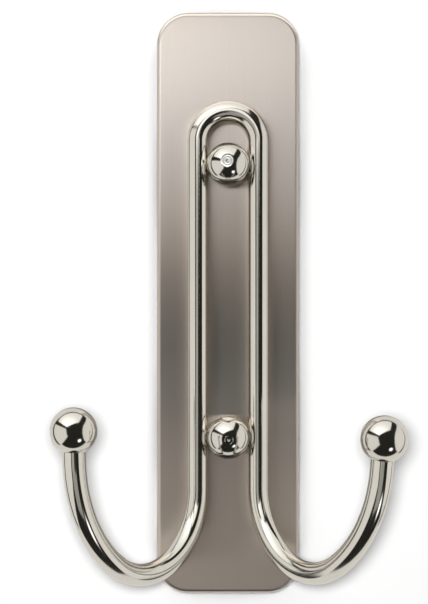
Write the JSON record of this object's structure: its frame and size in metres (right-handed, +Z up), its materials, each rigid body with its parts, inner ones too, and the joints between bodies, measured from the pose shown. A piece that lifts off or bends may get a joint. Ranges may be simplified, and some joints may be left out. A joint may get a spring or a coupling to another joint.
{
  "type": "double wall hook",
  "caption": "Double wall hook: one bent rod with ball ends, held by ball-headed studs on a tall brushed backplate that lifts off a stick-on wall base.",
  "frame": {"origin": "on the wall, at the middle of the adhesive strips' wall face, on the centreline and at mid height of the backplate", "axes": "+Z up, +Y into the wall, so the hooks face -Y, and +X to the right seen from the front"},
  "size_m": [0.0924, 0.0593, 0.164],
  "materials": {
    "satin_nickel": "satin nickel, brushed lengthways",
    "polished_nickel": "polished nickel, warm and mirror bright",
    "carrier_plastic": "moulded, fine spark-eroded texture",
    "zinc_steel": "bright zinc plate",
    "silicone": "soft clear silicone",
    "base_plastic": "moulded, satin",
    "foam_strip": "closed-cell foam with an adhesive skin",
    "tab_film": "stretch film, slightly glossy"
  },
  "bodies": {
    "wall_base": {"wall_base": "base_plastic", "left_strip": "foam_strip", "right_strip": "foam_strip", "left_pull_tab": "tab_film", "right_pull_tab": "tab_film"},
    "hook": {"face_plate": "satin_nickel", "plate_carrier": "carrier_plastic", "hook_wire": "polished_nickel", "left_ball": "polished_nickel", "right_ball": "polished_nickel", "upper_stud": "polished_nickel", "lower_stud": "polished_nickel", "upper_washer": "zinc_steel", "lower_washer": "zinc_steel", "upper_nut": "zinc_steel", "lower_nut": "zinc_steel", "left_bumper": "silicone", "right_bumper": "silicone"}
  },
  "joints": [
    {"name": "hook_lift", "type": "slide", "parent": "wall_base", "child": "hook", "axis": [0, 0, 1], "range_m": [0, 0.024]}
  ]
}
